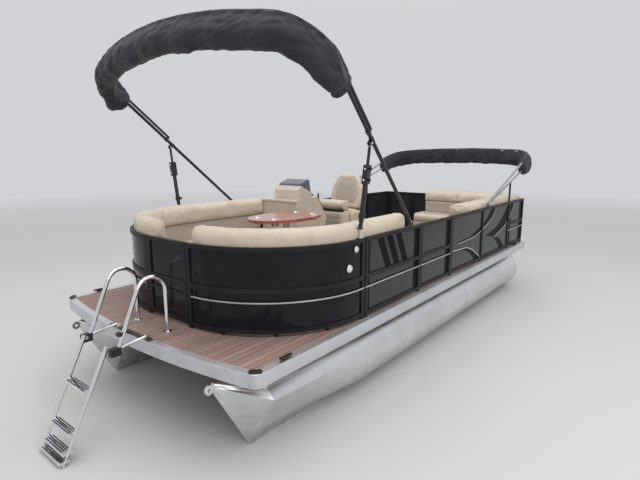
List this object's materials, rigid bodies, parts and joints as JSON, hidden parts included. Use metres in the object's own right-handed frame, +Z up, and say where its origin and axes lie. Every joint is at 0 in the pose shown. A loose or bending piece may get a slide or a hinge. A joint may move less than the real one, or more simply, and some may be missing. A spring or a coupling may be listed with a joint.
{
  "type": "pontoon boat",
  "caption": "Pontoon boat on its two tubes, with a fenced deck, gates, lounge seats, helm, table, folded canopies on hinged bows and a folding bow ladder.",
  "frame": {"origin": "on the ground under the middle of the overall length and beam", "axes": "+X to the bow, +Y to port, +Z up"},
  "size_m": [7.1657, 2.9586, 3.1032],
  "materials": {
    "pontoon_aluminium": "bright rolled sheet",
    "frame_aluminium": "mill",
    "deck_wood": "plywood edge",
    "deck_planks": "woven vinyl, teak look",
    "black_plastic": "satin",
    "fence_black": "satin powder coat",
    "panel_gloss": "gloss black",
    "panel_charcoal": "dark charcoal",
    "seat_vinyl": "cream vinyl",
    "seat_base": "moulded",
    "console_gel": "gelcoat",
    "pod_dark": "dark blue-grey",
    "wheel_black": "soft rim",
    "table_red": "gloss red-brown",
    "pedestal_metal": "anodised",
    "bimini_black": "black anodised",
    "bimini_silver": "anodised",
    "boot_canvas": "charcoal canvas",
    "ladder_steel": "polished stainless"
  },
  "bodies": {
    "hull": {"bimini_mounts": "bimini_black", "bow_bolster_port": "seat_vinyl", "bow_bolster_starboard": "seat_vinyl", "bow_cushion_port": "seat_vinyl", "bow_cushion_starboard": "seat_vinyl", "bow_seat_bases": "seat_base", "chair_pedestal": "black_plastic", "corner_castings": "frame_aluminium", "cross_members": "frame_aluminium", "deck_board": "deck_wood", "deck_cleats": "black_plastic", "deck_flooring": "deck_planks", "deck_trim": "frame_aluminium", "docking_lights": "ladder_steel", "fence_bow_port": "fence_black", "fence_bow_starboard": "fence_black", "fence_side_port": "fence_black", "fence_side_starboard": "fence_black", "fence_stern": "fence_black", "helm_console": "console_gel", "helm_controls": "black_plastic", "instrument_pod": "pod_dark", "ladder_handrails": "ladder_steel", "ladder_hinge_blocks": "black_plastic", "motor_pod": "pontoon_aluminium", "panels_bow": "panel_gloss", "panels_flat": "panel_charcoal", "pontoon_port": "pontoon_aluminium", "pontoon_starboard": "pontoon_aluminium", "stern_back_cushions": "seat_vinyl", "stern_seat_base": "seat_base", "stern_seat_cushions": "seat_vinyl", "table_pedestal": "pedestal_metal", "tube_risers": "frame_aluminium"},
    "bow_gate": {"bow_gate": "fence_black", "bow_gate_panel": "panel_gloss"},
    "side_gate": {"side_gate": "fence_black", "side_gate_panel": "panel_charcoal"},
    "stern_gate": {"stern_gate": "fence_black", "stern_gate_panel": "panel_charcoal"},
    "ladder_1": {"ladder_section_1": "ladder_steel"},
    "ladder_2": {"ladder_section_2": "ladder_steel"},
    "ladder_3": {"ladder_section_3": "ladder_steel"},
    "ladder_4": {"ladder_section_4": "ladder_steel"},
    "steering": {"steering_wheel": "wheel_black"},
    "chair": {"chair_slide": "black_plastic", "chair_seat": "seat_vinyl", "chair_back": "seat_vinyl", "chair_arms": "seat_vinyl"},
    "table": {"table_top": "table_red"},
    "front_bimini": {"front_bimini_bow": "bimini_black", "front_second_bow": "bimini_black", "front_bimini_boot": "boot_canvas"},
    "strut_tube_port": {"front_strut_tube_port": "bimini_black"},
    "strut_tube_starboard": {"front_strut_tube_starboard": "bimini_black"},
    "strut_rod_port": {"front_strut_rod_port": "bimini_black"},
    "strut_rod_starboard": {"front_strut_rod_starboard": "bimini_black"},
    "rear_bimini": {"rear_bimini_bow": "bimini_silver", "rear_second_bow": "bimini_silver", "rear_bimini_boot": "boot_canvas"}
  },
  "joints": [
    {"name": "bow_gate_swing", "type": "hinge", "parent": "hull", "child": "bow_gate", "pos_m": [2.53662, -0.2665, 1.033], "axis": [0, 0, 1], "range_deg": [0, 90]},
    {"name": "side_gate_swing", "type": "hinge", "parent": "hull", "child": "side_gate", "pos_m": [0.50062, 1.2045, 1.033], "axis": [0, 0, 1], "range_deg": [0, 90]},
    {"name": "stern_gate_swing", "type": "hinge", "parent": "hull", "child": "stern_gate", "pos_m": [-3.02738, -1.1712, 1.033], "axis": [0, 0, -1], "range_deg": [0, 90]},
    {"name": "ladder_fold", "type": "hinge", "parent": "hull", "child": "ladder_1", "pos_m": [3.18012, 0, 0.725], "axis": [0, -1, 0], "range_deg": [0, 165]},
    {"name": "ladder_slide_2", "type": "slide", "parent": "ladder_1", "child": "ladder_2", "axis": [-0.4384, 0, 0.8988], "range_m": [0, 0.25]},
    {"name": "ladder_slide_3", "type": "slide", "parent": "ladder_2", "child": "ladder_3", "axis": [-0.4384, 0, 0.8988], "range_m": [0, 0.085]},
    {"name": "ladder_slide_4", "type": "slide", "parent": "ladder_3", "child": "ladder_4", "axis": [-0.4384, 0, 0.8988], "range_m": [0, 0.025]},
    {"name": "steering_turn", "type": "hinge", "parent": "hull", "child": "steering", "pos_m": [-0.14959, -0.7625, 1.48465], "axis": [-0.8171, 0, 0.5765], "range_deg": [-540, 540]},
    {"name": "chair_swivel", "type": "hinge", "parent": "hull", "child": "chair", "pos_m": [-0.63788, -0.6, 1.023], "axis": [0, 0, 1], "continuous": true},
    {"name": "table_swivel", "type": "hinge", "parent": "hull", "child": "table", "pos_m": [1.06212, -0.065, 1.423], "axis": [0, 0, 1], "continuous": true},
    {"name": "front_bimini_fold", "type": "hinge", "parent": "hull", "child": "front_bimini", "pos_m": [0.72812, 0, 1.468], "axis": [0, -1, 0], "range_deg": [0, 18]},
    {"name": "rear_bimini_fold", "type": "hinge", "parent": "hull", "child": "rear_bimini", "pos_m": [-1.42788, 0, 1.468], "axis": [0, 1, 0], "range_deg": [0, 85]},
    {"name": "strut_swing_port", "type": "hinge", "parent": "hull", "child": "strut_tube_port", "pos_m": [1.57812, 1.231, 1.533], "axis": [0.1126, -0.9856, 0.1262], "range_deg": [0, 17.5]},
    {"name": "strut_slide_port", "type": "slide", "parent": "strut_tube_port", "child": "strut_rod_port", "axis": [0.0237, 0.1297, 0.9913], "range_m": [0, 0.268]},
    {"name": "strut_swing_starboard", "type": "hinge", "parent": "hull", "child": "strut_tube_starboard", "pos_m": [1.57812, -1.231, 1.533], "axis": [-0.1126, -0.9856, -0.1262], "range_deg": [0, 17.5]},
    {"name": "strut_slide_starboard", "type": "slide", "parent": "strut_tube_starboard", "child": "strut_rod_starboard", "axis": [0.0237, -0.1297, 0.9913], "range_m": [0, 0.268]}
  ],
  "couplings": [
    {"joint": "strut_swing_port", "follows": "front_bimini_fold", "ratio": 0.97},
    {"joint": "strut_slide_port", "follows": "front_bimini_fold", "m_per_rad": 0.844},
    {"joint": "strut_swing_starboard", "follows": "front_bimini_fold", "ratio": 0.97},
    {"joint": "strut_slide_starboard", "follows": "front_bimini_fold", "m_per_rad": 0.844}
  ]
}
